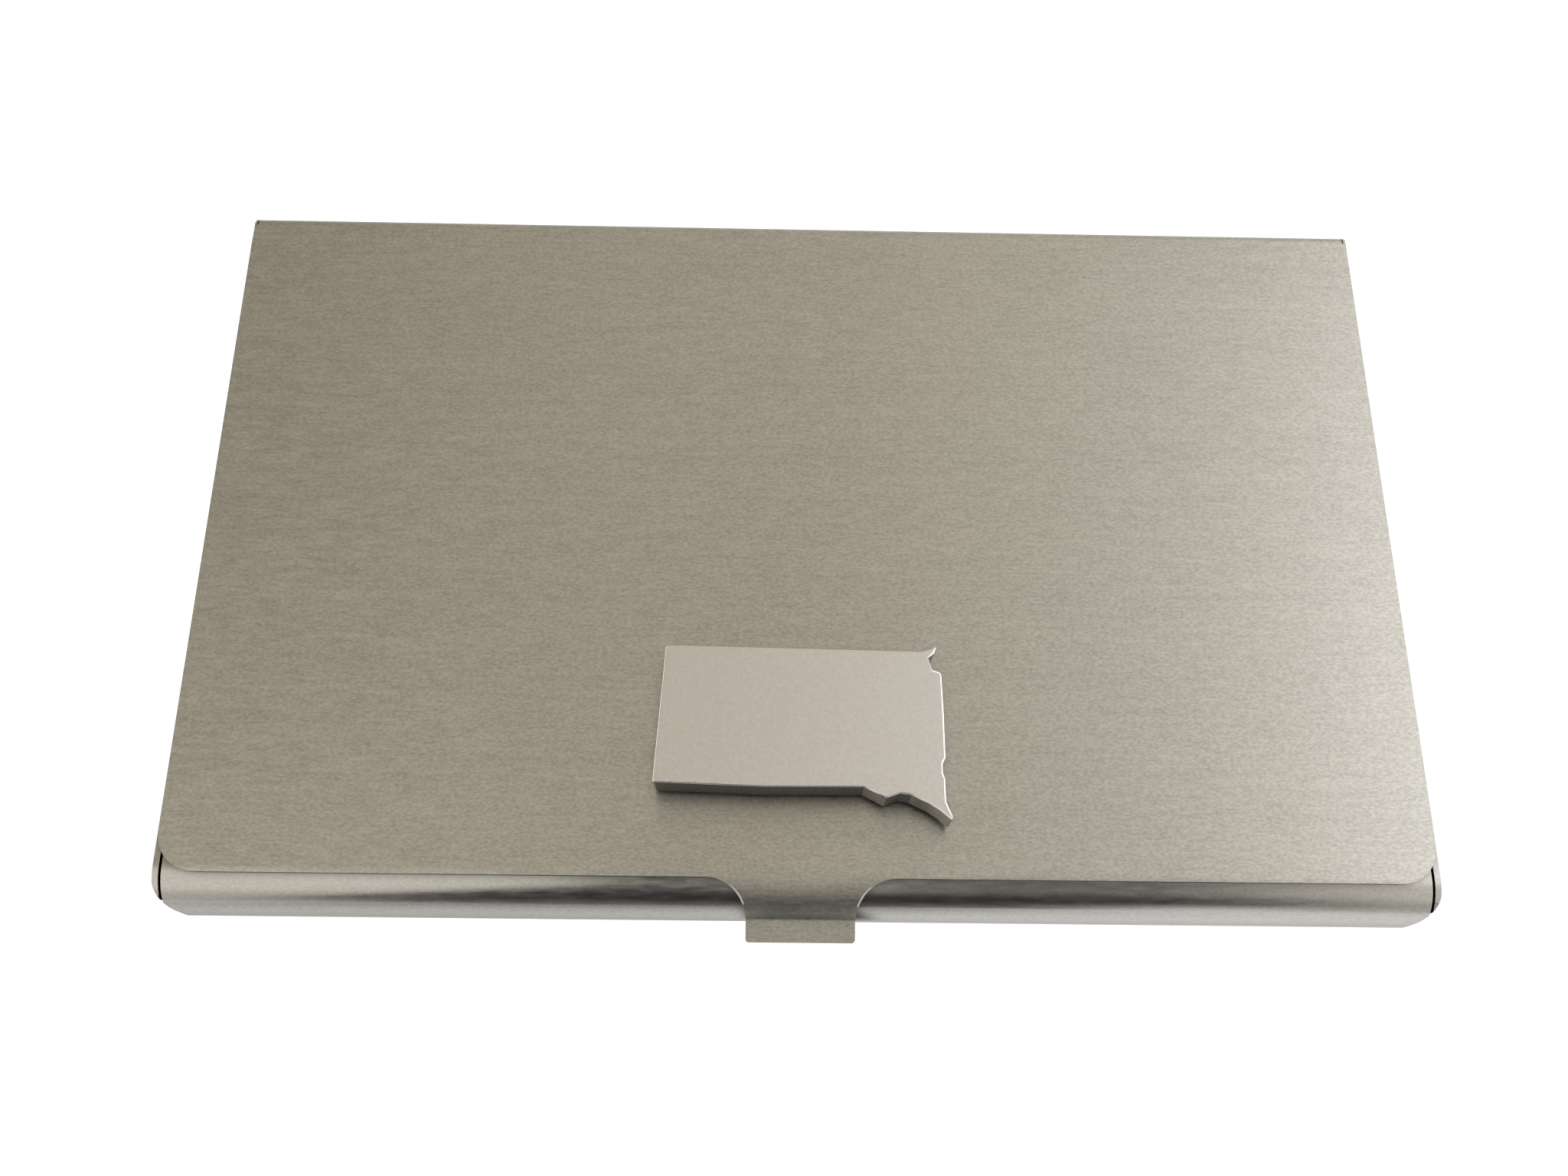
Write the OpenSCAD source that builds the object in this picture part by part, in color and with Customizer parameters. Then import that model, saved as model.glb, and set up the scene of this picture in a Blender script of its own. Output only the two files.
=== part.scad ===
// Business card case: a pressed stainless base, a hinged lid with a thumb tab, and a tilting card lifter.
// X runs across the width, the thumb tab faces -Y, and Z = 0 is the underside.

/* [Case] */
// Width over the side walls
case_w = 94; // [80:0.5:110]
// Depth from the front of the roll to the rear face of the lid
case_d = 58.3; // [50:0.1:75]
// Height from the underside to the top of the lid
case_h = 7; // [6.6:0.1:9]
// Thickness of the sheet of the base and the lid
sheet_t = 0.45; // [0.35:0.05:0.55]
// Gap between the closed lid and the base
lid_gap = 0.1; // [0.05:0.05:0.3]
// Slit between each end of the front roll and its side wall
roll_slit = 0.2; // [0.15:0.05:0.6]
// Flat return of the front roll behind its crown
roll_return = 1; // [0.8:0.1:1.5]
// Outer radius of the bend from the floor to a side wall
side_bend_r = 1.2; // [0.8:0.1:1.6]
// Radius of the front corners of the base, seen from above
base_corner_r = 2.2; // [1:0.1:3]

/* [Lid] */
// How far each side edge of the lid stays inside the outer face of its wall
lid_inset = 0.25; // [0:0.05:0.4]
// How far the front edge of the lid reaches past the crown of the roll
lid_reach = 0.6; // [0.2:0.1:1]
// Radius of the front corners of the lid
lid_corner_r = 2.9; // [1:0.1:4]
// Outer radius of the fold at the rear of the lid
lid_fold_r = 0.9; // [0.6:0.1:1.4]

/* [Thumb tab] */
// Width of the thumb tab
tab_w = 8; // [6:0.5:14]
// Radius of the fillets where the tab leaves the lid
tab_fillet_r = 3; // [1.5:0.1:4]
// Angle through which the tab follows the roll
tab_wrap = 58; // [40:1:65]
// Inner radius of the bend from the wrapped part to the lip
tab_flare_r = 0.4; // [0.2:0.05:0.8]
// Slope of the lip below the horizontal
tab_lip_slope = 12; // [0:1:30]
// Thinning of the sheet on each side where the lip is pressed
lip_thinning = 0.01; // [0.005:0.005:0.03]
// Length of the flat lip
tab_lip_l = 1.55; // [0.8:0.05:3]
// Radius of the corners at the tip of the lip
tab_tip_r = 0.3; // [0.2:0.05:1]

/* [Hinge] */
// Distance from the rear face of the lid to the hinge axis
axis_inset = 2; // [1.9:0.05:2.2]
// Height of the hinge axis above the underside
axis_h = 3.5; // [3.4:0.05:3.7]
// Radius of the rivet shanks
rivet_r = 0.7; // [0.5:0.05:0.9]
// Radius of the domed heads outside the walls
rivet_head_r = 1.3; // [1.1:0.05:1.8]
// Height of the domed heads
rivet_head_t = 0.35; // [0.2:0.05:0.6]
// Radius of the flattened tails inside the cheeks
rivet_tail_r = 1.15; // [1:0.05:1.3]
// Thickness of the flattened tails
rivet_tail_t = 0.35; // [0.2:0.05:0.6]
// Radius of the eyes in the lid ears and the lifter cheeks
eye_r = 1.35; // [1.2:0.05:1.4]
// Thickness of the pivot washers
washer_t = 0.25; // [0.15:0.05:0.4]
// Outer radius of the pivot washers
washer_r = 1.25; // [1:0.05:1.35]

/* [Card lifter] */
// Thickness of the lifter sheet
lifter_t = 0.3; // [0.2:0.05:0.4]
// Gap between the lifter and the floor
lifter_lift = 0.1; // [0.05:0.05:0.2]
// Outer radius of the bends in the lifter
lifter_bend_r = 0.6; // [0.5:0.05:0.9]
// Height of the lip that stops the cards in front
lifter_lip_h = 1.8; // [1.2:0.1:3]
// Length of the tapering cheeks, forward of the hinge axis
cheek_l = 24; // [12:1:40]
// Turn of the lid at which its flange reaches the cheeks
pick_turn = 75; // [60:1:80]

/* [Badge] */
// Width of the badge
badge_w = 21.6; // [12:0.1:30]
// Thickness of the badge
badge_t = 2.8; // [1:0.1:4]
// Distance from the front edge of the lid to the middle of the badge
badge_setback = 10.75; // [9:0.05:30]
// Turn of the badge on the lid
badge_turn = -0.75; // [-3:0.25:3]
// Thickness of the adhesive pad under the badge
pad_t = 0.7; // [0.1:0.05:1]
// Width of the adhesive pad
pad_w = 18; // [8:0.5:20]
// Depth of the adhesive pad
pad_d = 9; // [4:0.5:10]

/* [Clearances] */
// Play beside the lid ears and beside the rivet tails
side_play = 0.1; // [0.05:0.05:0.2]
// Play beside each washer
face_play = 0.05; // [0.02:0.01:0.1]
// Radial play of the turning eyes on the rivets
pin_play = 0.05; // [0.02:0.01:0.1]
// Radial play of the fixed holes and washers on the rivets
hole_play = 0.02; // [0.01:0.01:0.05]
// Gap between the swinging flange and the floor below it
swing_gap = 0.25; // [0.15:0.05:0.35]
// Gap left between the flange and the cheeks at the pick-up turn
pick_gap = 0.1; // [0.05:0.05:0.2]
// Step of the base behind the rear face of the lid
rear_step = 0.1; // [0:0.05:0.3]
// Gap between the free edge of the roll and the lip of the lifter
lip_gap = 0.4; // [0.3:0.05:0.8]
// Width of the relief cut at each end of the rear lip
lip_relief = 0.4; // [0.2:0.05:0.8]

/* [Hidden] */
$fn = 64;

// Side of each named left or right piece
LEFT = -1;
RIGHT = 1;
SIDES = [LEFT, RIGHT];
// Overshoot of a cut past the solid that it goes through
over = 1;
// The corner rounding of the base lies this far outside its faces, so it meets them at an angle
corner_ease = 0.02;

steel = [0.72, 0.70, 0.66];
bright_steel = [0.82, 0.81, 0.78];
spring_steel = [0.66, 0.65, 0.63];
adhesive = [0.12, 0.12, 0.12];

// Places along Y and Z
front_y = -case_d / 2;
rear_y = case_d / 2;
base_top = case_h - sheet_t - lid_gap;
base_rear = rear_y - rear_step;
roll_r = base_top / 2;
roll_y = front_y + roll_r;
lid_front = roll_y - lid_reach;
fold_y = rear_y - lid_fold_r;
axis_y = rear_y - axis_inset;

// The flange of the lid hangs as far below the axis as its swing over the floor allows
swing_r = axis_h - sheet_t - swing_gap;
flange_drop = sqrt(pow(swing_r, 2) - pow(axis_inset, 2));

// The rear lip of the base ends just outside that swing
lip_in = axis_inset - rear_step - sheet_t;
lip_bend_r = sheet_t + face_play;
lip_top = axis_h - sqrt(pow(swing_r + side_play, 2) - pow(lip_in, 2));

// Layers along X, from a side wall inwards
wall_in = case_w / 2 - sheet_t;
lid_w = case_w - 2 * lid_inset;
roll_end = wall_in - roll_slit;
ear_out = wall_in - side_play;
ear_in = ear_out - sheet_t;
washer_out = ear_in - face_play;
washer_in = washer_out - washer_t;
cheek_out = washer_in - face_play;
cheek_in = cheek_out - lifter_t;
tail_out = cheek_in - side_play;
tail_in = tail_out - rivet_tail_t;

// Lifter plate
lifter_z = sheet_t + lifter_lift;
lifter_low = lifter_z - axis_h;
lifter_front = roll_y + roll_return + lip_gap;
lifter_flat_y = lifter_front + lifter_bend_r;

// The tab turns round the roll, then back round a small centre above it
curl_r = roll_r + lid_gap;
flare_reach = curl_r + sheet_t + tab_flare_r;
flare_y = roll_y - flare_reach * sin(tab_wrap);
flare_z = roll_r + flare_reach * cos(tab_wrap);
lip_r_in = tab_flare_r + lip_thinning;
lip_r_out = tab_flare_r + sheet_t - lip_thinning;
// Turn by which the pressed lip starts inside the wrapped part
lip_seat_turn = 5;
tab_tip_y = flare_y - tab_lip_l * cos(tab_lip_slope) + tab_flare_r * sin(tab_lip_slope);

// Outline of the badge, from its top left corner clockwise, at its drawn width
badge_drawn_w = 21.7;
badge_outline = [
  [-10.3, 5.6], [8.8, 5.6], [9.9, 6], [9.7, 5.5], [9.25, 5], [9.5, 4.2], [10.1, 4],
  [10.25, 3.6], [10.35, 0.8], [10.4, -2.5], [10.2, -2.9], [10.2, -3.6], [10.35, -4],
  [10.4, -5.7], [10.65, -6.3], [10.9, -6.75], [10.75, -7.05], [9.9, -6.35], [9.1, -5.85],
  [8.6, -5.65], [7.9, -5.3], [7.1, -5.2], [6.45, -5.4], [6.05, -5.6], [5.2, -5.15],
  [4.45, -4.8], [-2.9, -4.95], [-10.8, -4.8]
];
badge_y = lid_front + badge_setback;

// Rear edge of the cheeks at a height w above the axis: the line that the flange meets at the pick-up turn
function pick_edge(w) = -(flange_drop + pick_gap + w * cos(pick_turn)) / sin(pick_turn);

// An outline drawn in (y, z), extruded along X
module along_x(x0, x1) {
  translate([x0, 0, 0]) rotate([90, 0, 90]) linear_extrude(x1 - x0) children();
}

// An outline drawn in (x, z), extruded along Y
module along_y(y0, y1) {
  translate([0, y1, 0]) rotate([90, 0, 0]) linear_extrude(y1 - y0) children();
}

// Rectangle between two opposite corners
module between(a, b) {
  polygon([a, [b[0], a[1]], b, [a[0], b[1]]]);
}

// Section of a strip bent round its centre, from one angle to another
module bent_strip(r_in, r_out, a0, a1) {
  reach = 2 * r_out;
  middle = (a0 + a1) / 2;
  intersection() {
    difference() {
      circle(r_out);
      circle(r_in);
    }
    polygon([
      [0, 0],
      reach * [cos(a0), sin(a0)],
      reach * [cos(middle), sin(middle)],
      reach * [cos(a1), sin(a1)]
    ]);
  }
}

// Section in (x, z) of a floor with a wall bent up at each side
module channel(half_w, floor_z, top_z, t, bend_r) {
  flat = half_w - bend_r;
  for (side = SIDES) mirror([side == LEFT ? 1 : 0, 0]) translate([flat, floor_z + bend_r]) {
    translate([-flat, -bend_r]) square([flat, t]);
    bent_strip(bend_r - t, bend_r, 270, 360);
    translate([bend_r - t, 0]) square([t, top_z - floor_z - bend_r]);
  }
}

// Plan rectangle, rounded at its two front corners
module round_front(w, y0, y1, r) {
  translate([-w / 2, y0 + r]) square([w, y1 - y0 - r]);
  translate([-w / 2 + r, y0]) square([w - 2 * r, r]);
  for (side = SIDES) translate([side * (w / 2 - r), y0 + r]) circle(r);
}

// Round bar on the hinge axis, between two distances from the middle on one side
module on_axis(side, x0, x1, r) {
  mirror([side == LEFT ? 1 : 0, 0, 0])
    translate([x0, axis_y, axis_h]) rotate([0, 90, 0]) cylinder(h = x1 - x0, r = r);
}

// Side view of the walls: half-round in front like the roll, rounded about the hinge axis behind
module wall_side() {
  translate([roll_y, roll_r]) circle(roll_r);
  between([roll_y, 0], [axis_y, base_top]);
  between([axis_y, 0], [base_rear, axis_h]);
  intersection() {
    translate([axis_y, axis_h]) circle(base_top - axis_h);
    between([axis_y, axis_h], [base_rear, base_top]);
  }
}

// Floor with its side walls, open in front for the roll and behind for the rear lip
module floor_and_walls() {
  difference() {
    intersection() {
      along_y(front_y, base_rear) channel(case_w / 2, 0, base_top, sheet_t, side_bend_r);
      along_x(-case_w / 2, case_w / 2) wall_side();
    }
    along_x(-wall_in, wall_in) between([front_y - over, -over], [roll_y, case_h]);
    along_x(side_bend_r - case_w / 2, case_w / 2 - side_bend_r)
      between([base_rear - lip_bend_r, -over], [rear_y + over, case_h]);
  }
}

// Low upturned lip at the rear edge of the floor
module rear_lip() {
  half_w = case_w / 2 - side_bend_r - lip_relief;
  along_x(-half_w, half_w) {
    translate([base_rear - lip_bend_r, lip_bend_r]) bent_strip(lip_bend_r - sheet_t, lip_bend_r, 270, 360);
    between([base_rear - sheet_t, lip_bend_r], [base_rear, lip_top]);
  }
}

// Plan that rounds the front corners of the base
module base_plan() {
  round_front(case_w + 2 * corner_ease, front_y - corner_ease, rear_y + over, base_corner_r);
}

module base_tray() {
  color(steel) difference() {
    intersection() {
      union() {
        floor_and_walls();
        along_x(-roll_end, roll_end) {
          translate([roll_y, roll_r]) bent_strip(roll_r - sheet_t, roll_r, 90, 270);
          between([roll_y, base_top - sheet_t], [roll_y + roll_return, base_top]);
        }
        rear_lip();
      }
      translate([0, 0, -over]) linear_extrude(case_h + 2 * over) base_plan();
    }
    for (side = SIDES) on_axis(side, wall_in - over, case_w / 2 + over, rivet_r + hole_play);
  }
}

// Side view of the lid and its tab: flat, round the roll, then back and out along the lip
module lid_side() {
  between([roll_y, case_h - sheet_t], [fold_y, case_h]);
  translate([roll_y, roll_r]) bent_strip(curl_r, curl_r + sheet_t, 90, 90 + tab_wrap);
  translate([flare_y, flare_z]) rotate(tab_lip_slope) {
    bent_strip(lip_r_in, lip_r_out, 270, 270 + tab_wrap - tab_lip_slope + lip_seat_turn);
    translate([-tab_lip_l, -lip_r_out]) square([tab_lip_l, lip_r_out - lip_r_in]);
  }
}

// Plan of the top of the lid with its thumb tab
module lid_plan() {
  fillet_x = tab_w / 2 + tab_fillet_r;
  fillet_y = lid_front - tab_fillet_r;
  round_front(lid_w, lid_front, rear_y, lid_corner_r);
  round_front(tab_w, tab_tip_y, lid_front + over, tab_tip_r);
  difference() {
    between([-fillet_x, fillet_y], [fillet_x, lid_front]);
    for (side = SIDES) translate([side * fillet_x, fillet_y]) circle(tab_fillet_r);
  }
}

// Fold and flange at the rear of the lid, between the walls
module rear_flange() {
  along_x(-ear_out, ear_out) {
    between([fold_y - over, case_h - sheet_t], [fold_y, case_h]);
    translate([fold_y, case_h - lid_fold_r]) bent_strip(lid_fold_r - sheet_t, lid_fold_r, 0, 90);
    between([rear_y - sheet_t, axis_h - flange_drop], [rear_y, case_h - lid_fold_r]);
  }
}

// Side view of the rear corners of the lid: the start of the fold, trimmed level above the walls
module corner_side() {
  between([fold_y - over, case_h - sheet_t], [fold_y, case_h]);
  intersection() {
    translate([fold_y, case_h - lid_fold_r]) circle(lid_fold_r);
    between([fold_y, case_h - sheet_t], [rear_y, case_h]);
  }
}

module lid() {
  color(steel) difference() {
    union() {
      intersection() {
        along_x(-lid_w / 2, lid_w / 2) lid_side();
        linear_extrude(case_h + over) lid_plan();
      }
      rear_flange();
      for (side = SIDES) mirror([side == LEFT ? 1 : 0, 0, 0]) {
        along_x(wall_in, lid_w / 2) corner_side();
        along_x(ear_in, ear_out) translate([axis_y, axis_h]) {
          circle(eye_r);
          translate([0, -eye_r]) square([axis_inset, 2 * eye_r]);
        }
      }
    }
    for (side = SIDES) on_axis(side, ear_in - over, ear_out + side_play, rivet_r + pin_play);
  }
}

// Half section of a rivet: distance from its axis, and distance from the middle of the case
module rivet_section() {
  dome_r = (pow(rivet_head_r, 2) + pow(rivet_head_t, 2)) / (2 * rivet_head_t);
  between([0, tail_in], [rivet_r, case_w / 2]);
  between([0, tail_in], [rivet_tail_r, tail_out]);
  intersection() {
    translate([0, case_w / 2 + rivet_head_t - dome_r]) circle(dome_r);
    between([0, case_w / 2], [rivet_head_r, case_w / 2 + rivet_head_t]);
  }
}

// Rivet through one wall, lid ear, washer and lifter cheek
module hinge_rivet(side) {
  color(bright_steel)
    translate([0, axis_y, axis_h]) rotate([0, side * 90, 0]) rotate_extrude() rivet_section();
}

module pivot_washer(side) {
  color(bright_steel) difference() {
    on_axis(side, washer_in, washer_out, washer_r);
    on_axis(side, washer_in - over, washer_out + over, rivet_r + hole_play);
  }
}

// Side view of the lifter: a plate with tapering cheeks that end in an eye on the hinge axis
module lifter_side() {
  between([lifter_flat_y, lifter_z], [axis_y - cheek_l + over, lifter_z + lifter_t]);
  translate([axis_y, axis_h]) {
    circle(eye_r);
    polygon([
      [0, eye_r],
      [0, -eye_r],
      [pick_edge(-eye_r), -eye_r],
      [pick_edge(lifter_low), lifter_low],
      [-cheek_l, lifter_low],
      [-cheek_l, lifter_low + lifter_t]
    ]);
  }
}

module card_lifter() {
  lip_half_w = cheek_out - lifter_bend_r;
  color(spring_steel) difference() {
    union() {
      intersection() {
        along_y(lifter_front, rear_y)
          channel(cheek_out, lifter_z, axis_h + eye_r, lifter_t, lifter_bend_r);
        along_x(-cheek_out, cheek_out) lifter_side();
      }
      along_x(-lip_half_w, lip_half_w) translate([lifter_flat_y, lifter_z + lifter_bend_r]) {
        bent_strip(lifter_bend_r - lifter_t, lifter_bend_r, 180, 270);
        translate([-lifter_bend_r, 0]) square([lifter_t, lifter_lip_h - lifter_bend_r]);
      }
    }
    for (side = SIDES) on_axis(side, cheek_in - over, cheek_out + over, rivet_r + pin_play);
  }
}

module badge() {
  color(bright_steel)
    translate([0, badge_y, case_h + pad_t]) rotate(badge_turn)
      linear_extrude(badge_t) polygon([for (p = badge_outline) p * badge_w / badge_drawn_w]);
}

module badge_adhesive() {
  color(adhesive)
    translate([0, badge_y, case_h]) rotate(badge_turn)
      translate([-pad_w / 2, -pad_d / 2, 0]) cube([pad_w, pad_d, pad_t]);
}

base_tray();
lid();
hinge_rivet(LEFT);  // left_hinge_rivet
hinge_rivet(RIGHT);  // right_hinge_rivet
pivot_washer(LEFT);  // left_pivot_washer
pivot_washer(RIGHT);  // right_pivot_washer
card_lifter();
badge();
badge_adhesive();
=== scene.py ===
# %% [markdown]
# # A business card case
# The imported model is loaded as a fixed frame: every sheet, rivet and badge is already where the
# drawing puts it. This script only dresses it, so it adds edges, finishes, light and a camera.
# All lengths are in metres, as in the frame, and MM turns a drawing's millimetres into them.

# %% Load the frame
import math

import bpy
from mathutils import Matrix, Quaternion, Vector


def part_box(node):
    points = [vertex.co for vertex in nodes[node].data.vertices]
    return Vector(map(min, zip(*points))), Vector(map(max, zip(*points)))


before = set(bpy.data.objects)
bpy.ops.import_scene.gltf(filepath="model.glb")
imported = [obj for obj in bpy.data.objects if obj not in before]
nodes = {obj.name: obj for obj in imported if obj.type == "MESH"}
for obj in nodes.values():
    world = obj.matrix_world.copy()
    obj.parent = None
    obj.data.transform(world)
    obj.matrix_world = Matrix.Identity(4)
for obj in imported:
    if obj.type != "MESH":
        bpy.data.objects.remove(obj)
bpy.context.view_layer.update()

MM = 0.001
scene = bpy.context.scene
print("nodes:", sorted(nodes))

# %% [markdown]
# ## Three helpers
# Colours are picked on screen as sRGB hex values, but shaders work in linear light, so one function
# turns the first into the second. A second function adds a node to a tree, gives it its settings and
# fills its sockets: a value is typed in, and another node's socket is linked. A third one makes an
# empty material, because every finish starts from one.

# %% Colour and node helpers
def to_linear(hex_colour):
    """An sRGB colour such as #A0A0A0 as linear red, green, blue and alpha."""
    channels = [int(hex_colour[i:i + 2], 16) / 255 for i in (1, 3, 5)]
    return [c / 12.92 if c <= 0.04045 else ((c + 0.055) / 1.055) ** 2.4 for c in channels] + [1.0]


def add(tree, kind, inputs=None, **settings):
    """Adds a node of that kind with its settings, and links or sets its inputs."""
    node = tree.nodes.new(kind)
    for name, value in settings.items():
        setattr(node, name, value)
    for key, value in (inputs or {}).items():
        if isinstance(value, bpy.types.NodeSocket):
            tree.links.new(value, node.inputs[key])
        else:
            node.inputs[key].default_value = value
    return node


def new_material(name):
    """An empty node material and its tree."""
    material = bpy.data.materials.new(name)
    material.use_nodes = True
    material.node_tree.nodes.clear()
    return material, material.node_tree


print("a middle grey in linear light:", round(to_linear("#808080")[0], 3))

# %% [markdown]
# ## Camera
# The photograph looks down on the front of the case from about 69 degrees above the table, with a
# slight turn and roll. The four corners of the lid fix the place, and the way in which the far edge
# shrinks fixes the lens: 1900 pixels of focal length in an image 2048 pixels wide.

# %% Camera
IMAGE_W = 2048
FOCAL_PX = 1900
SENSOR_W = 36.0
CAMERA_ROLL = math.radians(3.16)
camera_at = Vector((-3.18, -43.905, 113.03)) * MM
camera_aim = Vector((-1.423, -4.142, 7.0)) * MM

camera_data = bpy.data.cameras.new("photo_camera")
camera_data.sensor_width = SENSOR_W
camera_data.lens = FOCAL_PX / IMAGE_W * SENSOR_W
camera_data.clip_start = 1 * MM
camera = bpy.data.objects.new("photo_camera", camera_data)
scene.collection.objects.link(camera)
look = (camera_aim - camera_at).to_track_quat("-Z", "Y") @ Quaternion((0, 0, 1), CAMERA_ROLL)
camera.matrix_world = Matrix.LocRotScale(camera_at, look, None)
scene.camera = camera
print("lens:", round(camera_data.lens, 2), "mm")

# %% [markdown]
# ## Crisp edges
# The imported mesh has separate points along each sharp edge, so its faces are not joined there. A
# small node modifier welds them, says which edges stay crisp and marks those that may be rounded. It
# could be done once in edit mode, but a modifier leaves the drawing's mesh alone. A fold of the sheet
# is many narrow strips, which then shade as one smooth bend.

# %% Weld modifier
SHARP = math.radians(40)  # faces that meet at more than this have a crisp edge between them
BENT = math.radians(2)
LENGTHWISE = 0.9  # share of an edge that runs along X
WELD_DISTANCE = 0.001 * MM
EVERYWHERE = (-1.0, 1.0)


def weld_tree(name, sharp_angle, smooth_behind=EVERYWHERE[0], rubbed_y=EVERYWHERE):
    """Node modifier that joins split points, keeps edges sharp past an angle and marks those to round."""
    tree = bpy.data.node_groups.new(name, "GeometryNodeTree")
    tree.interface.new_socket("Mesh", in_out="INPUT", socket_type="NodeSocketGeometry")
    tree.interface.new_socket("Mesh", in_out="OUTPUT", socket_type="NodeSocketGeometry")
    source = add(tree, "NodeGroupInput").outputs[0]
    weld = add(tree, "GeometryNodeMergeByDistance", {"Geometry": source, "Distance": WELD_DISTANCE})
    angle = add(tree, "GeometryNodeInputMeshEdgeAngle").outputs["Unsigned Angle"]
    position = add(tree, "GeometryNodeInputPosition").outputs[0]
    place = add(tree, "ShaderNodeSeparateXYZ", {0: position}).outputs["Y"]
    ends = add(tree, "GeometryNodeInputMeshEdgeVertices").outputs
    run = add(tree, "ShaderNodeVectorMath", {0: ends["Position 1"], 1: ends["Position 2"]},
              operation="SUBTRACT").outputs[0]
    way = add(tree, "ShaderNodeVectorMath", {0: run}, operation="NORMALIZE").outputs[0]
    along = add(tree, "ShaderNodeVectorMath", {0: way}, operation="ABSOLUTE").outputs[0]
    along = add(tree, "ShaderNodeSeparateXYZ", {0: along}).outputs["X"]
    limits = ((angle, sharp_angle), (angle, BENT), (along, LENGTHWISE), (place, smooth_behind),
              (place, rubbed_y[0]), (rubbed_y[1], place))
    sharp, bent, lengthwise, behind, above, below = [
        add(tree, "FunctionNodeCompare", {0: value, 1: limit}, data_type="FLOAT",
            operation="GREATER_THAN").outputs[0] for value, limit in limits]
    # In front of the smooth range, a bent edge that does not run lengthwise is sharp too
    smooth = add(tree, "FunctionNodeBooleanMath", {0: behind, 1: lengthwise}, operation="OR").outputs[0]
    cut = add(tree, "FunctionNodeBooleanMath", {0: bent, 1: smooth}, operation="NIMPLY").outputs[0]
    crisp = add(tree, "FunctionNodeBooleanMath", {0: sharp, 1: cut}, operation="OR").outputs[0]
    shade = add(tree, "GeometryNodeSetMeshNormal", {"Mesh": weld.outputs[0], "Edge Sharpness": crisp},
                mode="SHARPNESS").outputs[0]
    reach = add(tree, "FunctionNodeBooleanMath", {0: above, 1: below}, operation="AND").outputs[0]
    rubbed = add(tree, "FunctionNodeBooleanMath", {0: sharp, 1: reach}, operation="AND").outputs[0]
    marked = add(tree, "GeometryNodeStoreNamedAttribute",
                 {"Geometry": shade, "Name": "bevel_weight_edge", "Value": rubbed},
                 data_type="FLOAT", domain="EDGE").outputs[0]
    add(tree, "NodeGroupOutput", {0: marked})
    return tree


print("crisp edges past", round(math.degrees(SHARP)), "degrees")

# %% [markdown]
# ## Three pieces with a weld of their own
# The outline of the badge is cut in short straight facets, and each corner between them is crisp. On
# the base, the round cut at the front corners meets the roll at a flat angle but is still a crisp
# line. On the lid, the fillets beside the thumb tab are marked to be rounded.

# %% Welded pieces
FACET = math.radians(18)
BASE_CORNER_R = 2.2 * MM
corner_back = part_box("base_tray")[0][1] + BASE_CORNER_R
tab_fillets = (-28.4 * MM, -27.15 * MM)  # front and rear end of the stretch that is rounded
WELD = {
    "badge": weld_tree("weld_badge_facets", FACET),
    "base_tray": weld_tree("weld_base", SHARP, smooth_behind=corner_back),
    "lid": weld_tree("weld_lid", SHARP, rubbed_y=tab_fillets),
}
WELD_PLAIN = weld_tree("weld_plain", SHARP)
for name, node in nodes.items():
    weld = node.modifiers.new("weld", "NODES")
    weld.node_group = WELD.get(name, WELD_PLAIN)
print("welded pieces:", len(nodes))

# %% [markdown]
# ## Not knife-sharp
# A blanked edge is broken in a tumbler, and that small round is what catches the light. A bevel
# modifier makes it wherever two faces meet at more than 60 degrees. Edges of the pressed sheets lie
# close to folds that a bevel would run into, so the base and the lifter go without. The lid is rounded
# only where its edges are marked, along the fillets beside the thumb tab.

# %% Edge rounding
ROUNDED = math.radians(60)
ROUND_STEPS = 3
EDGE_MM = {
    "lid": 0.15, "badge": 0.14, "badge_adhesive": 0.05,
    "left_hinge_rivet": 0.05, "right_hinge_rivet": 0.05,
    "left_pivot_washer": 0.03, "right_pivot_washer": 0.03,
}
for name, edge in EDGE_MM.items():
    bevel = nodes[name].modifiers.new("broken_edge", "BEVEL")
    bevel.width = edge * MM
    bevel.segments = ROUND_STEPS
    bevel.limit_method = "WEIGHT" if name == "lid" else "ANGLE"
    bevel.angle_limit = ROUNDED
    bevel.harden_normals = True
    bevel.use_clamp_overlap = name != "lid"
print("rounded edges on", len(EDGE_MM), "pieces")

# %% [markdown]
# ## Brushed stainless sheet
# The lid is stainless sheet, brushed with a belt along its width. The belt leaves fine parallel
# scratches, so a reflection stays sharp along them and smears across them. That is an anisotropic
# metal: the tangent is the X axis, and a quarter turn of the rotation smears across it. Stretched
# noise draws the scratches, because they are long, thin and irregular. An image could show them too,
# but noise never repeats and needs no unwrapping.
# The sheet is painted darker close to a step above it, beside the badge and on the roll along the edge
# of the lid: painted shade where the step keeps light off. Ambient occlusion finds those places.

# %% Brushed stainless
NOISE = {"From Min": 0.3, "From Max": 0.7}  # nearly all values of a noise lie between these
# Length and width in mm and share of the contrast, from sparkle to scratch to the belt's faint bands.
# Real scratches are a few hundredths of a millimetre wide; these are wide enough to show in the picture.
SPARKLE_TO_BANDS = ((0.30, 0.16, 1.3), (1.8, 0.30, 0.50), (8.0, 0.70, 0.22), (40.0, 2.6, 0.12))
SCRATCH_ROUGHNESS = 0.03
CORNER_TO_OPEN = {"From Min": 0.2, "From Max": 0.95, "To Min": 0.2, "To Max": 1.0}
QUARTER_TURN = 0.25


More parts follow.
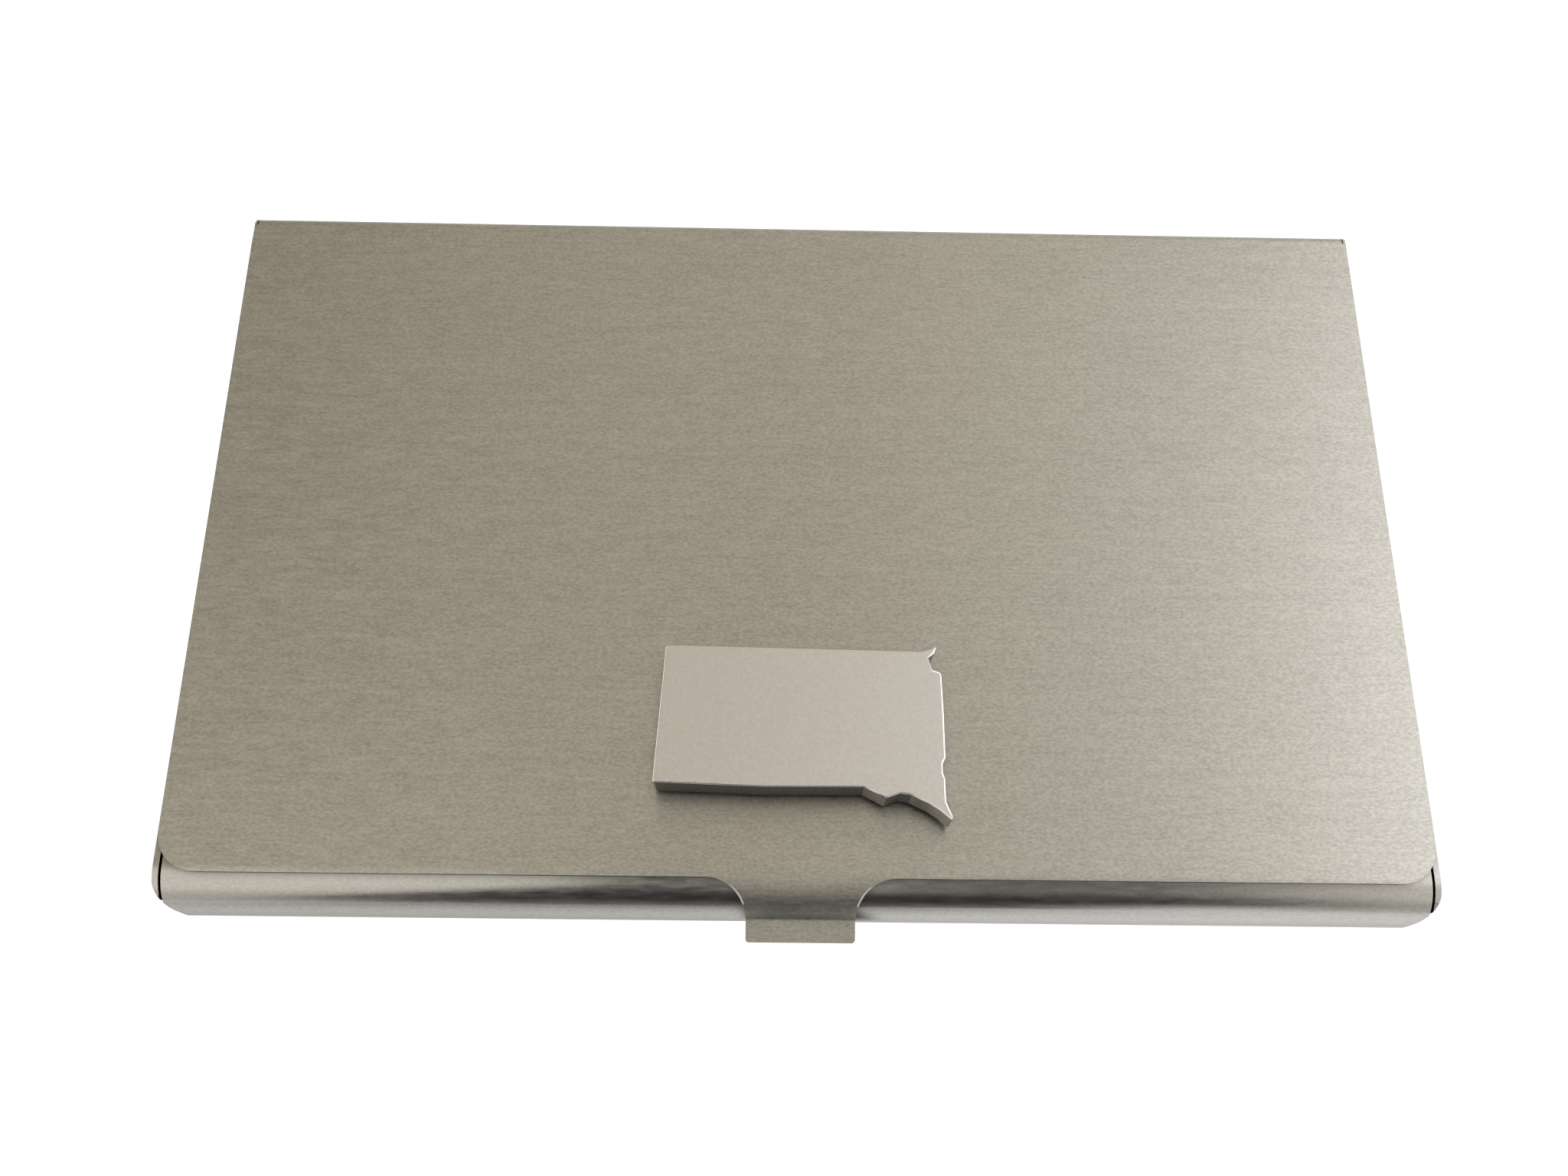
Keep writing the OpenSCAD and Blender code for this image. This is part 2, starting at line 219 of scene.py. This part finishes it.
def brushed_stainless(name, colour, roughness, anisotropy, grain, relief_mm, shade_reach_mm):
    """Stainless sheet brushed along X, with that contrast and depth of grain, and painted shade near a
    step.
    """
    material, tree = new_material(name)
    place = add(tree, "ShaderNodeTexCoord").outputs["Object"]
    shade, layers = 1.0, []
    for length_mm, width_mm, share in SPARKLE_TO_BANDS:
        across = 1 / (width_mm * MM)
        stretched = add(tree, "ShaderNodeVectorMath",
                        {0: place, 1: (1 / (length_mm * MM), across, across)},
                        operation="MULTIPLY").outputs[0]
        layer = add(tree, "ShaderNodeTexNoise",
                    {"Vector": stretched, "Scale": 1.0, "Detail": 1.0}).outputs["Fac"]
        swing = add(tree, "ShaderNodeMapRange", {
            "Value": layer, **NOISE, "To Min": -share * grain, "To Max": share * grain}).outputs[0]
        shade = add(tree, "ShaderNodeMath", {0: shade, 1: swing}, operation="ADD").outputs[0]
        layers.append(layer)
    sparkle, scratch = layers[:2]
    # Painted shade: ambient occlusion darkens the sheet within that reach of a step, where the step
    # shades it
    clear = add(tree, "ShaderNodeAmbientOcclusion", {"Distance": shade_reach_mm * MM},
                samples=8).outputs["AO"]
    painted_corner_shade = add(tree, "ShaderNodeMapRange", {"Value": clear, **CORNER_TO_OPEN}).outputs[0]
    shade = add(tree, "ShaderNodeMath", {0: shade, 1: painted_corner_shade}, operation="MULTIPLY").outputs[0]
    tint = add(tree, "ShaderNodeMix", {"Factor": 1.0, 6: to_linear(colour), 7: shade},
               data_type="RGBA", blend_type="MULTIPLY").outputs[2]
    rough = add(tree, "ShaderNodeMapRange", {
        "Value": scratch, **NOISE, "To Min": roughness - SCRATCH_ROUGHNESS,
        "To Max": roughness + SCRATCH_ROUGHNESS}).outputs[0]
    depth = {"Strength": 1.0, "Distance": relief_mm * MM}
    pits = add(tree, "ShaderNodeBump", {"Height": sparkle, **depth}).outputs[0]
    relief = add(tree, "ShaderNodeBump", {"Height": scratch, **depth, "Normal": pits}).outputs[0]
    along = add(tree, "ShaderNodeCombineXYZ", {"X": 1.0}).outputs[0]
    steel = add(tree, "ShaderNodeBsdfPrincipled", {
        "Base Color": tint, "Metallic": 1.0, "Roughness": rough, "Normal": relief, "Tangent": along,
        "Specular Tint": to_linear("#C8C8C8"), "Anisotropic": anisotropy,
        "Anisotropic Rotation": QUARTER_TURN})
    add(tree, "ShaderNodeOutputMaterial", {"Surface": steel.outputs[0]})
    return material


print("grain layers:", len(SPARKLE_TO_BANDS))

# %% [markdown]
# ## Three sheets
# All three pressings are the same kind of sheet, so they share that function and differ in how far
# they were brushed: the lid most, the base less, and the lifter inside hardly at all.

# %% Sheet finishes
# The belt's grain gives the lid a dull sheen that spreads far across the scratches
lid_steel = brushed_stainless("brushed_stainless_lid", "#AEABA2", roughness=0.31, anisotropy=0.80,
                              grain=0.10, relief_mm=0.0020, shade_reach_mm=1.2)
# Rolling smooths the base, so it mirrors its surroundings as soft bright and dark bands
base_steel = brushed_stainless("satin_rolled_stainless_base", "#ABA9A4", roughness=0.175,
                               anisotropy=0.40, grain=0.05, relief_mm=0.0004, shade_reach_mm=0.8)
# Spring sheet straight from the mill gives the lifter an even grey gloss with little grain
lifter_steel = brushed_stainless("spring_stainless_lifter", "#B9B7B2", roughness=0.30, anisotropy=0.40,
                                 grain=0.06, relief_mm=0.0004, shade_reach_mm=0.8)
print("sheet finishes:", lid_steel.name, base_steel.name, lifter_steel.name)

# %% [markdown]
# ## The badge and the rivets
# The badge is a thick plate of bright stainless, tumbled to an even satin, so its grain has no
# direction and it looks lighter than the lid. Its sides are painted darker as painted shade, less so
# on the left, where painted light falls on them, and the face below is painted nearly black as painted
# shade. The direction in which a surface faces tells these apart, so one material does for the whole
# plate. Rivets and washers are turned steel, with the same fine grain and only slightly shaded sides.

# %% Satin plate and turned steel
GRAIN_ROUGHNESS = 0.05
GRAIN_SHADE = 0.015
GRAIN_DEPTH = 0.0002 * MM
SIDE_TO_TOP = {"From Min": 0.15, "From Max": 0.45, "To Max": 1.0}  # by how far a face looks up
RIGHT_TO_LEFT = {"From Min": -0.25, "From Max": -0.60, "To Max": 0.9}  # by how far it looks left
BELOW_TO_SIDE = {"From Min": -0.9, "From Max": -0.5, "To Min": 0.1, "To Max": 1.0}


def satin_steel(name, colour, roughness, grain_mm, side_shade_level):
    """Bright steel with an even grain of that size, and sides painted with shade to that level of its
    brightness.
    """
    material, tree = new_material(name)
    coordinates = add(tree, "ShaderNodeTexCoord").outputs
    grain = add(tree, "ShaderNodeTexNoise", {
        "Vector": coordinates["Object"], "Scale": 1 / (grain_mm * MM), "Detail": 3.0}).outputs["Fac"]
    rough, shade = [
        add(tree, "ShaderNodeMapRange", {
            "Value": grain, **NOISE, "To Min": middle - swing, "To Max": middle + swing}).outputs[0]
        for middle, swing in ((roughness, GRAIN_ROUGHNESS), (1.0, GRAIN_SHADE))]
    # Painted shade by facing: sides darker than the top, left sides less as painted light, the face below
    # nearly black
    facing = add(tree, "ShaderNodeSeparateXYZ", {"Vector": coordinates["Normal"]}).outputs
    side_shade = add(tree, "ShaderNodeMapRange", {
        "Value": facing["X"], "To Min": side_shade_level, **RIGHT_TO_LEFT}).outputs[0]
    edge = add(tree, "ShaderNodeMapRange", {
        "Value": facing["Z"], "To Min": side_shade, **SIDE_TO_TOP}).outputs[0]
    below = add(tree, "ShaderNodeMapRange", {"Value": facing["Z"], **BELOW_TO_SIDE}).outputs[0]
    edge = add(tree, "ShaderNodeMath", {0: edge, 1: below}, operation="MULTIPLY").outputs[0]
    shade = add(tree, "ShaderNodeMath", {0: shade, 1: edge}, operation="MULTIPLY").outputs[0]
    tint = add(tree, "ShaderNodeMix", {"Factor": 1.0, 6: to_linear(colour), 7: shade},
               data_type="RGBA", blend_type="MULTIPLY").outputs[2]
    relief = add(tree, "ShaderNodeBump", {
        "Height": grain, "Strength": 1.0, "Distance": GRAIN_DEPTH}).outputs[0]
    steel = add(tree, "ShaderNodeBsdfPrincipled", {
        "Base Color": tint, "Metallic": 1.0, "Roughness": rough, "Normal": relief,
        "Specular Tint": to_linear("#D8D8D8")})
    add(tree, "ShaderNodeOutputMaterial", {"Surface": steel.outputs[0]})
    return material


# Tumbling gives the plate a soft, even brightness; painted shade darkens its sides to a dark rim
badge_steel = satin_steel("satin_stainless_badge", "#CAC7C3", roughness=0.24, grain_mm=0.2,
                          side_shade_level=0.30)
# Turning gives small bright heads with a tight highlight
turned_steel = satin_steel("turned_steel_rivet", "#D6D4D0", roughness=0.22, grain_mm=0.12,
                           side_shade_level=0.9)
print("plate finishes:", badge_steel.name, turned_steel.name)

# %% [markdown]
# ## The pad
# The pad below the badge is black closed-cell foam tape. Only its edge shows, as a dark line without
# gloss. Foam is cut through its cells, so a pattern of cells gives it small pits. Plain black would do
# at this size, but the pits keep the edge from shining when the case is seen from close by.

# %% Foam tape
CELL_MM = 0.12
PIT_DEPTH = 0.02 * MM
foam, tree = new_material("black_foam_tape")
place = add(tree, "ShaderNodeTexCoord").outputs["Object"]
cells = add(tree, "ShaderNodeTexVoronoi", {
    "Vector": place, "Scale": 1 / (CELL_MM * MM)}).outputs["Distance"]
pits = add(tree, "ShaderNodeBump", {"Height": cells, "Strength": 0.6, "Distance": PIT_DEPTH}).outputs[0]
skin = add(tree, "ShaderNodeMapRange", {"Value": cells, "To Min": 0.75, "To Max": 0.95}).outputs[0]
rubber = add(tree, "ShaderNodeBsdfPrincipled", {
    "Base Color": to_linear("#1A1A1B"), "Roughness": skin, "Normal": pits})
add(tree, "ShaderNodeOutputMaterial", {"Surface": rubber.outputs[0]})
print("pad finish:", foam.name)

# %% [markdown]
# ## Which piece has which finish
# One table pairs each piece with its finish, so that it can be read at a glance and nothing is missed.

# %% List of finishes
FINISH = {
    "lid": lid_steel, "base_tray": base_steel, "card_lifter": lifter_steel,
    "badge": badge_steel, "badge_adhesive": foam,
    "left_hinge_rivet": turned_steel, "right_hinge_rivet": turned_steel,
    "left_pivot_washer": turned_steel, "right_pivot_washer": turned_steel,
}
for name, material in FINISH.items():
    nodes[name].data.materials.clear()
    nodes[name].data.materials.append(material)
print("finishes set on", len(FINISH), "pieces")

# %% [markdown]
# ## Floor
# The case lies on a sheet of white paper that comes out as plain white with hardly a shadow. A broad
# disc is enough, because its rim is out of sight. It lies a hair below the case, so that the two
# surfaces don't fight for the same place.

# %% White paper
FLOOR_R = 1.5
FLOOR_DROP = 0.02 * MM
RIM = 96
turns = [2 * math.pi * i / RIM for i in range(RIM)]
ring = [(FLOOR_R * math.cos(turn), FLOOR_R * math.sin(turn), 0) for turn in turns]
floor_mesh = bpy.data.meshes.new("white_paper")
floor_mesh.from_pydata(ring, [], [list(range(RIM))])
floor = bpy.data.objects.new("white_paper", floor_mesh)
scene.collection.objects.link(floor)
floor.location.z = -FLOOR_DROP
print("floor:", floor.name)

# %% [markdown]
# ## Light of the paper
# The roll of the base is a curved mirror, and its lower half shows the paper in front of it. There the
# paper fades into the shade of the camera, less so at the sides, and it is brighter on the right,
# near the lamp. Close before the thumb tab lies the tab's own shade, which darkens its bend. Lamps and
# screens could cast all this, but a glow that depends on the place on the paper is free of noise. The
# camera itself sees plain white.

# %% Glow of the paper
SOFT = {"interpolation_type": "SMOOTHSTEP"}
FADE_MM = 20  # distance at which the paper has faded halfway
FADE_REACH = 50  # in those distances
FADE_POWER = 1.5
paper, tree = new_material("white_paper_sweep")
place = add(tree, "ShaderNodeTexCoord").outputs["Object"]
place = add(tree, "ShaderNodeSeparateXYZ", {"Vector": place}).outputs
CASE_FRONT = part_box("base_tray")[0][1]
front = add(tree, "ShaderNodeMapRange", {
    "Value": place["Y"], "From Min": CASE_FRONT, "From Max": CASE_FRONT - FADE_REACH * FADE_MM * MM,
    "To Min": 0.0, "To Max": FADE_REACH}).outputs[0]
falling = add(tree, "ShaderNodeMath", {0: front, 1: FADE_POWER}, operation="POWER").outputs[0]
falling = add(tree, "ShaderNodeMath", {0: falling, 1: 1.0}, operation="ADD").outputs[0]
nearness = add(tree, "ShaderNodeMath", {0: 1.0, 1: falling}, operation="DIVIDE").outputs[0]

SHADE_X, TAB_SHADE_X = -16 * MM, 1 * MM  # middle of the camera's shade and of the tab's
asides = [add(tree, "ShaderNodeMath", {0: place["X"], 1: middle}, operation="SUBTRACT").outputs[0]
          for middle in (SHADE_X, TAB_SHADE_X)]
off_shade, off_tab = [add(tree, "ShaderNodeMath", {0: aside}, operation="ABSOLUTE").outputs[0]
                      for aside in asides]
FAR_LEVEL = {"From Min": 25 * MM, "From Max": 64 * MM, "To Min": 0.30, "To Max": 0.80}
LEFT_TO_LAMP = {"From Min": -22 * MM, "From Max": 25 * MM, "To Min": 1.02, "To Max": 1.30}
far = add(tree, "ShaderNodeMapRange", {"Value": off_shade, **FAR_LEVEL}, **SOFT).outputs[0]
level = add(tree, "ShaderNodeMix", {"Factor": nearness, 2: far, 3: 1.0}).outputs[0]
lit = add(tree, "ShaderNodeMapRange", {"Value": place["X"], **LEFT_TO_LAMP}, **SOFT).outputs[0]
lit = add(tree, "ShaderNodeMath", {0: lit, 1: level}, operation="MULTIPLY").outputs[0]

TAB_SHADE = {"From Min": 3.5 * MM, "From Max": 6 * MM, "To Min": 0.93, "To Max": 0.0}
TAB_SHADE_START = {"From Min": 0.05, "From Max": 0.23, "To Min": 0.0}  # in fade distances
dark = add(tree, "ShaderNodeMapRange", {"Value": off_tab, **TAB_SHADE}, **SOFT).outputs[0]
dark = add(tree, "ShaderNodeMapRange", {"Value": front, **TAB_SHADE_START, "To Max": dark},
           **SOFT).outputs[0]
kept = add(tree, "ShaderNodeMath", {0: 1.0, 1: dark}, operation="SUBTRACT").outputs[0]
lit = add(tree, "ShaderNodeMath", {0: lit, 1: kept}, operation="MULTIPLY").outputs[0]
print("light of the paper:", len(tree.nodes), "nodes")

# %% [markdown]
# ## Paper
# Uncoated paper scatters light evenly and has no gloss of its own. Its own colour is set to a grey,
# because the glow already holds most of the light that comes off it.

# %% Paper
seen = add(tree, "ShaderNodeLightPath").outputs["Is Camera Ray"]
glow = add(tree, "ShaderNodeMix", {"Factor": seen, 2: lit, 3: 1.0}).outputs[0]
sheet = add(tree, "ShaderNodeBsdfPrincipled", {
    "Base Color": to_linear("#6A6A69"), "Roughness": 0.9, "Specular IOR Level": 0.0,
    "Emission Color": to_linear("#FFFFFF"), "Emission Strength": glow})
add(tree, "ShaderNodeOutputMaterial", {"Surface": sheet.outputs[0]})
floor_mesh.materials.append(paper)
print("paper:", paper.name)

# %% [markdown]
# ## Light tent
# Shiny metal shows its surroundings, so most of its look is the light. Small metal goods are pictured
# in a tent of white cloth, and this one is drawn in the world's shader from the direction of a ray. Two
# numbers give that direction: how far it goes to the right, from -1 to 1, and its tilt, the angle
# from straight up towards the viewer, where 0 is overhead and 90 degrees is the horizon.
# Area lamps would do as well, but then each patch of cloth would be one more object to place.

# %% Directions in the tent
world = bpy.data.worlds.new("light_tent")
scene.world = world
world.use_nodes = True
tree = world.node_tree
tree.nodes.clear()
direction = add(tree, "ShaderNodeTexCoord").outputs["Generated"]
axes = add(tree, "ShaderNodeSeparateXYZ", {"Vector": direction}).outputs
right = axes["X"]
ahead = add(tree, "ShaderNodeMath", {0: axes["Y"], 1: -1.0}, operation="MULTIPLY").outputs[0]
tilt = add(tree, "ShaderNodeMath", {0: ahead, 1: axes["Z"]}, operation="ARCTAN2").outputs[0]
tilt = add(tree, "ShaderNodeMath", {0: tilt}, operation="DEGREES").outputs[0]
print("directions:", len(tree.nodes), "nodes")

# %% [markdown]
# ## Cloth
# The cloth is warm white: darker at the rear left, brighter in front, where the room's light falls on
# it. The flat lid shows its rear part. Every patch of the tent has soft edges, so one helper makes the
# mask of a patch from its edges, and another hangs the patch in front of what is there already.
# Light levels are linear and may pass 1, so they are not hex colours.

# %% Cloth
def patch(*edges):
    """Mask of a patch of the tent. An edge is a coordinate, where its rise starts and where it ends."""
    mask = 1.0
    for value, start, end in edges:
        rise = add(tree, "ShaderNodeMapRange", {"Value": value, "From Min": start, "From Max": end},
                   **SOFT).outputs[0]
        mask = add(tree, "ShaderNodeMath", {0: mask, 1: rise}, operation="MULTIPLY").outputs[0]
    return mask


def hang(cloth, colour, *edges):
    """The cloth with a patch of that colour, with those soft edges, hung in front of it."""
    return add(tree, "ShaderNodeMix", {"Factor": patch(*edges), 6: cloth, 7: colour},
               data_type="RGBA").outputs[2]


REAR_CLOTH = (0.735, 0.675, 0.58, 1)
REAR_LEFT_CLOTH = (0.47, 0.43, 0.35, 1)
FRONT_CLOTH = (1.28, 1.24, 1.14, 1)
LOW_CLOTH = (0.90, 0.88, 0.83, 1)
cloth = hang(REAR_CLOTH, REAR_LEFT_CLOTH, (right, -0.05, -0.40), (tilt, 10, -30))
cloth = hang(cloth, FRONT_CLOTH, (tilt, -4, 10))
cloth = hang(cloth, LOW_CLOTH, (tilt, 48, 75))
print("cloth:", len(tree.nodes), "nodes so far")

# %% [markdown]
# ## Dark side
# The tent is open in front for the camera, and the cloth round the opening lies in shade. This is the
# dark band along the roll. It runs out to the left in a wedge, because the left edge of the shade
# leans out towards the horizon. A strip of lit cloth hangs lower over the camera and brightens the
# thumb tab. Low behind the opening the far end of the table shows, dark in the middle and lit at its
# sides, most of all on the right.

# %% Dark side
KINK = 32  # tilt up to which the left edge of the shade is upright
LEAN = math.radians(0.235)  # its step to the left for each degree past that
STRIP_DROP = -46  # degrees
low = add(tree, "ShaderNodeMath", {0: tilt, 1: KINK}, operation="MAXIMUM").outputs[0]
lean = add(tree, "ShaderNodeMath", {0: low, 1: LEAN, 2: right}, operation="MULTIPLY_ADD").outputs[0]
dark_side = ((lean, 0.006, 0.034), (right, 0.455, 0.24))
strip = patch((right, -0.006, 0.008), (right, 0.067, 0.050))
rim = add(tree, "ShaderNodeMath", {0: strip, 1: STRIP_DROP, 2: tilt}, operation="MULTIPLY_ADD").outputs[0]

SHADE_LEFT, SHADE_RIGHT = (0.09, 0.09, 0.09, 1), (0.27, 0.26, 0.25, 1)
OPENING = (0.05, 0.05, 0.052, 1)
TABLE, TABLE_LEFT, TABLE_RIGHT = (0.25, 0.25, 0.25, 1), (0.95, 0.94, 0.90, 1), (2.0, 1.98, 1.92, 1)
shade = hang(SHADE_LEFT, SHADE_RIGHT, (right, -0.04, 0.10))
table = hang(TABLE, TABLE_LEFT, (right, -0.19, -0.34))
table = hang(table, TABLE_RIGHT, (right, 0.17, 0.32))
cloth = hang(cloth, shade, *dark_side, (rim, 2, 12))
cloth = hang(cloth, OPENING, *dark_side, (tilt, 36, 62))
cloth = hang(cloth, table, *dark_side, (tilt, 66, 96))
print("dark side:", len(tree.nodes), "nodes so far")

# %% [markdown]
# ## Lamps
# A lamp behind the right wall of the tent makes the lid brighter from left to right and whitens the
# right sides of the badge. Its light grows in steps that a colour ramp smooths. Far out to the right
# the wall glows on towards the front, which lights the right end of the roll, and a weaker lamp behind
# the left wall lights the left sides. The lamps are a little bluer than the cloth.

# %% Lamps
LAMP_LIGHT = (2.28, 2.42, 2.72, 1)
LEFT_LAMP = 0.7
WHITE = (1, 1, 1, 1)
# Place to the right, and level there
RIGHT_LAMP = ((0.10, 0.06), (0.24, 0.13), (0.36, 0.22), (0.43, 0.56), (0.86, 1.0), (1.0, 0.4))
right_lamp = add(tree, "ShaderNodeValToRGB", {"Fac": right})
right_lamp.color_ramp.interpolation = "B_SPLINE"
ramp = right_lamp.color_ramp.elements
ramp[0].position, ramp[0].color = 0.0, (0, 0, 0, 1)
ramp[1].position, ramp[1].color = 0.65, WHITE
for position, level in RIGHT_LAMP:
    step = ramp.new(position)
    step.color = (level, level, level, 1)
right_wall = patch((tilt, 21, -10), (tilt, -90, -32))
front_wall = patch((right, 0.55, 0.72), (right, 1.02, 0.88), (tilt, 75, 50))
left_wall = patch((right, -0.55, -0.90))
glow = add(tree, "ShaderNodeMath", {0: right_lamp.outputs[0], 1: right_wall},
           operation="MULTIPLY").outputs[0]
glow = add(tree, "ShaderNodeMath", {0: glow, 1: front_wall}, operation="MAXIMUM").outputs[0]
glow = add(tree, "ShaderNodeMath", {0: left_wall, 1: LEFT_LAMP, 2: glow},
           operation="MULTIPLY_ADD").outputs[0]
lamps = add(tree, "ShaderNodeMix", {"Factor": 1.0, 6: LAMP_LIGHT, 7: glow},
            data_type="RGBA", blend_type="MULTIPLY").outputs[2]
print("lamps:", len(tree.nodes), "nodes so far")

# %% [markdown]
# ## World
# The light of the lamps is added to the cloth, and the sum is what the metal shows. The camera itself
# sees a white background, as in a picture for a catalogue. The Standard view keeps that white.

# %% World
tent = add(tree, "ShaderNodeMix", {"Factor": 1.0, 6: cloth, 7: lamps},
           data_type="RGBA", blend_type="ADD").outputs[2]
seen = add(tree, "ShaderNodeLightPath").outputs["Is Camera Ray"]
shown = add(tree, "ShaderNodeMix", {"Factor": seen, 6: tent, 7: WHITE}, data_type="RGBA").outputs[2]
sky = add(tree, "ShaderNodeBackground", {"Color": shown, "Strength": 1.0})
add(tree, "ShaderNodeOutputWorld", {"Surface": sky.outputs[0]})
scene.view_settings.view_transform = "Standard"
print("light tent:", len(tree.nodes), "nodes")
